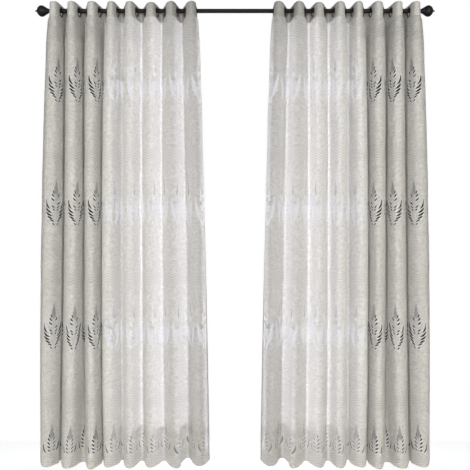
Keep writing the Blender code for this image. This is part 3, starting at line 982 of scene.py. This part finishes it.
@dataclass(frozen=True)
class Finials:
    """The two bud finials, turned shapes with overlapping scales in low relief."""

    finish: MetalFinish
    rod_end: float = 1.1013
    outline: Outline = (
        (0.0000, 0.0135),
        (0.0030, 0.0160),
        (0.0120, 0.0205),
        (0.0250, 0.0285),
        (0.0390, 0.0325),
        (0.0510, 0.0290),
        (0.0600, 0.0210),
        (0.0655, 0.0120),
        (0.0690, 0.0055),
        (0.0745, 0.0038),
        (0.0780, 0.0022),
    )
    steps: int = 96
    rows: int = 72
    scales: int = 7
    scale_length: float = 0.012
    relief: float = 0.0013
    level: float = 0.6
    plain_radius: float = 0.012
    ease: float = 0.006

    def radius_at(self, out: float) -> float:
        """Give the radius of the turned shape by a smooth curve through its stations."""
        last = len(self.outline) - 2
        at = next((i for i in range(last + 1) if out <= self.outline[i + 1][0]), last)
        four = [self.outline[min(max(at + i, 0), last + 1)] for i in (-1, 0, 1, 2)]
        part = (out - four[1][0]) / (four[2][0] - four[1][0])
        r = [station[1] for station in four]
        return 0.5 * (
            2.0 * r[1]
            + (r[2] - r[0]) * part
            + (2.0 * r[0] - 5.0 * r[1] + 4.0 * r[2] - r[3]) * part**2
            + (3.0 * r[1] - r[0] - 3.0 * r[2] + r[3]) * part**3
        )

    def scale_height(self, out: float, angle: float) -> float:
        """Give how far the overlapping scales stand up at a point, from 0 to 1."""
        row = out / self.scale_length
        height = 0.0
        for step in (math.floor(row), math.floor(row) + 1):
            local = row - step + 1.0
            across = (angle * self.scales / TURN + 0.5 * (step % 2)) % 1.0 - 0.5
            tongue = 1.0 - (2.0 * abs(across)) ** 2.2 - 0.5 * local
            height = max(height, min(1.0, 3.0 * max(tongue, 0.0)) * (0.4 + 0.3 * local))
        return height

    def bud(self) -> BMesh:
        """Make one finial with its scales, pointing up from the origin."""
        stations = [row * self.outline[-1][0] / self.rows for row in range(self.rows + 1)]
        rings = [(self.radius_at(out), out) for out in stations]
        points = [(0.0, stations[0])] + rings + [(0.0, stations[-1])]
        bm = spun(points, False, self.steps)
        for vert in bm.verts:
            radius = math.hypot(vert.co.x, vert.co.y)
            shown = min(max((radius - self.plain_radius) / self.ease, 0.0), 1.0)
            shown *= min(vert.co.z / self.ease, 1.0)
            if shown > 0.0:
                height = self.scale_height(vert.co.z, math.atan2(vert.co.y, vert.co.x))
                grown = 1.0 + self.relief * shown * (height - self.level) / radius
                vert.co.x *= grown
                vert.co.y *= grown
        return bm

    def build(self) -> None:
        """Make both finials."""
        bm = self.bud()
        material = self.finish.material()
        for side in Side:
            shape = bm.copy()
            turn = Matrix.Rotation(side.sign * math.pi / 2.0, 4, "Y")
            place = Matrix.Translation((side.sign * self.rod_end, 0.0, 0.0)) @ turn
            bmesh.ops.transform(shape, matrix=place, verts=shape.verts)
            keep(new_object(f"bud_{side.value}", shape, material), "finial", f"finial_{side.value}")
        bm.free()


class Card(NamedTuple):
    """A backdrop card behind part of a panel, with its sideways reach given for the right one. Its colour
    is painted shade or painted light seen through the cloth: a dark sheet, or a glow that only the camera
    sees.
    """

    name: str
    near: float
    far: float
    high: float
    low: float
    back: float
    shade: Colour
    near_flare: float = 0.0
    far_flare: float = 0.0
    glow: bool = True


class Lamp(NamedTuple):
    """A soft area light. One of a pair is given as it stands on the right."""

    name: str
    place: Spot
    aim: Spot
    size: tuple[float, float]
    power: float
    colour: Colour
    spread: float = 180.0


@dataclass(frozen=True)
class Studio:
    """A plain pale floor, backdrop cards of painted shade and painted light, soft lights and a level
    camera at half height.
    """

    distance: float = 3.8
    eye_height: float = -1.3216
    focal_pixels: float = 644.0
    frame_pixels: float = 470.0
    sensor: float = 36.0
    floor: float = -2.700
    floor_size: tuple[float, float] = (3.6, 1.0)
    floor_glow: float = 0.6
    world_strength: float = 0.27
    world_colour: Colour = (0.86, 0.92, 1.0)
    pairs: tuple[Lamp, ...] = (
        Lamp("strip", (2.2, -2.6, -1.25), (1.0, 0.0, -1.35), (0.5, 3.2), 9.8, (1.0, 0.97, 0.905), 42.0),
        Lamp("fill", (0.0, -2.0, -1.3), (0.94, 0.0, -1.35), (0.3, 2.6), 3.5, (0.97, 0.98, 1.0), 30.0),
        Lamp("back_strip", (1.0, 0.9, -1.3), (0.42, 0.0, -1.3), (0.3, 2.9), 8.6, (0.90, 0.90, 1.0), 42.0),
    )
    lamps: tuple[Lamp, ...] = (
        Lamp("front_light", (0.0, -5.2, -0.9), (0.0, 0.0, -1.3), (1.6, 1.6), 128.0, (1.0, 0.972, 0.925)),
        Lamp("back_light", (0.0, 0.75, -1.1), (0.0, 0.0, -1.1), (1.0, 2.1), 14.5, (0.92, 0.92, 1.0)),
    )
    cards: tuple[Card, ...] = (
        # Painted shade: a near-black sheet behind the outer folds that stands in for the shaded wall seen
        # through the cuts
        Card("painted_shade_card", 0.790, 1.120, -0.060, -2.640, 0.085, (0.03, 0.03, 0.032), 0.0, 0.045, False),
        # Painted shade: a grey card behind the heading that glows for the camera only, standing in for the
        # shade between the loops under the rod
        Card("painted_shade_head_card", 0.228, 1.120, 0.022, -0.059, 0.085, (0.26, 0.25, 0.24)),
        # Painted light: a pale card behind the inner folds that glows for the camera only, standing in for
        # bright light behind the cloth
        Card("painted_backlight_card", 0.228, 0.788, -0.060, -2.439, 0.110, (0.77, 0.77, 0.81), 0.040),
        # Painted shade: a dark brown card behind the hem that glows for the camera only, so the hem's cuts
        # read dark
        Card("painted_shade_hem_card", 0.180, 0.788, -2.440, -2.655, 0.110, (0.27, 0.24, 0.21)),
    )

    def camera(self) -> None:
        """Make the camera and set it as the scene's."""
        data = bpy.data.cameras.new("camera")
        data.sensor_width = self.sensor
        data.lens = self.focal_pixels / self.frame_pixels * self.sensor
        item = placed("camera", data)
        item.location = (0.0, -self.distance, self.eye_height)
        item.rotation_euler = (math.pi / 2.0, 0.0, 0.0)
        bpy.context.scene.camera = item

    def light(self, lamp: Lamp, side: Side | None = None) -> None:
        """Add a light that the camera doesn't see, on the given side if it is one of a pair."""
        flip = side.sign if side else 1.0
        name = f"{lamp.name}_{side.value}" if side else lamp.name
        place, aim = (Vector((flip * x, y, z)) for x, y, z in (lamp.place, lamp.aim))
        data = bpy.data.lights.new(name, "AREA")
        data.spread = math.radians(lamp.spread)
        data.shape = "RECTANGLE"
        data.size, data.size_y = lamp.size
        data.energy = lamp.power
        data.color = lamp.colour
        item = placed(name, data)
        item.location = place
        item.rotation_euler = (aim - place).to_track_quat("-Z", "Y").to_euler()
        item.visible_camera = False

    def card(self, card: Card, side: Side) -> None:
        """Stand a backdrop card of painted shade or light, whose back can't be seen, behind the panel on
        one side. A glowing card shows its colour to the camera only and lets all other rays through.
        """
        ends = sorted((side.sign * card.near, side.sign * card.far))
        bm = flat_grid(*ends, card.high, card.low)
        bmesh.ops.translate(bm, verts=bm.verts, vec=(0.0, card.back, 0.0))
        middle = (card.near + card.far) / 2.0
        for vert in bm.verts:
            if vert.co.z < (card.high + card.low) / 2.0:
                outer = abs(vert.co.x) > middle
                vert.co.x += side.sign * (card.far_flare if outer else -card.near_flare)
        g = Graph(f"{card.name}_{side.value}")
        hidden = g.add("ShaderNodeNewGeometry", {}, {}, "Backfacing")
        # A glowing card is a painted glow, not a lamp: the camera sees its colour and every other ray
        # passes through
        if card.glow:
            shade = g.add("ShaderNodeEmission", {}, {"Color": (*card.shade, 1.0)})
            hidden = 1.0 - (1.0 - hidden) * g.add("ShaderNodeLightPath", {}, {}, "Is Camera Ray")
        else:
            shade = g.surface(Base_Color=card.shade, Roughness=0.9)
        clear = g.add("ShaderNodeBsdfTransparent", {}, {})
        material = g.finish(g.mixed(hidden, shade, clear))
        new_object(f"{card.name}_{side.value}", bm, material)

    def ground(self) -> None:
        """Make the floor."""
        bm = bmesh.new()
        bmesh.ops.create_grid(bm, x_segments=1, y_segments=1, size=0.5)
        stretch = Matrix.Diagonal((*self.floor_size, 1.0, 1.0))
        bmesh.ops.transform(bm, matrix=stretch, verts=bm.verts)
        bmesh.ops.translate(bm, verts=bm.verts, vec=(0.0, 0.0, self.floor))
        g = Graph("pale_floor")
        grain = g.speckle(g.place(), 3.0)
        pale = g.blend(grain, (0.93, 0.93, 0.93), (0.95, 0.95, 0.95))
        glow = {"Emission_Color": pale, "Emission_Strength": self.floor_glow}
        shader = g.surface(Base_Color=pale, Roughness=0.7, **glow)
        new_object("floor", bm, g.finish(shader))

    def world(self) -> None:
        """Light the scene softly from all round, and show the camera a white ground."""
        g = Graph("studio", world=True)
        pale = {"Color": (*self.world_colour, 1.0), "Strength": self.world_strength}
        soft = g.add("ShaderNodeBackground", {}, pale)
        white = g.add("ShaderNodeBackground", {}, {"Color": (1.0, 1.0, 1.0, 1.0)})
        seen = g.add("ShaderNodeLightPath", {}, {}, "Is Camera Ray")
        bpy.context.scene.world = g.finish(g.mixed(seen, soft, white))
        bpy.context.scene.view_settings.view_transform = "Standard"

    def build(self) -> None:
        """Make the floor, the backdrop cards of painted shade and light, the lights and the world."""
        self.ground()
        for side in Side:
            for card in self.cards:
                self.card(card, side)
            for lamp in self.pairs:
                self.light(lamp, side)
        for lamp in self.lamps:
            self.light(lamp)
        self.world()


def main() -> None:
    """Build and dress the whole pair of curtains."""
    logging.basicConfig(level=logging.INFO)
    folds = Folds()
    leaves = LeafPattern()
    studio = Studio()
    studio.camera()
    bronze = MetalFinish("eyelet_bronze", (0.10, 0.07, 0.05), (0.22, 0.16, 0.11), 0.38, 0.85, 60.0)
    brown = MetalFinish("rod_brown", (0.011, 0.006, 0.005), (0.024, 0.015, 0.012), 0.48, 0.1, 30.0, 0.22)
    black = MetalFinish("finial_black", (0.006, 0.006, 0.006), (0.028, 0.027, 0.025), 0.5, 0.1, 70.0, 0.25)
    Rod(brown).build()
    Finials(black).build()
    Headings(folds, HeadingFinish()).build()
    Eyelets(folds, bronze).build()
    Panels(folds, leaves, VoileFinish()).build()
    studio.build()


if __name__ == "__main__":
    main()
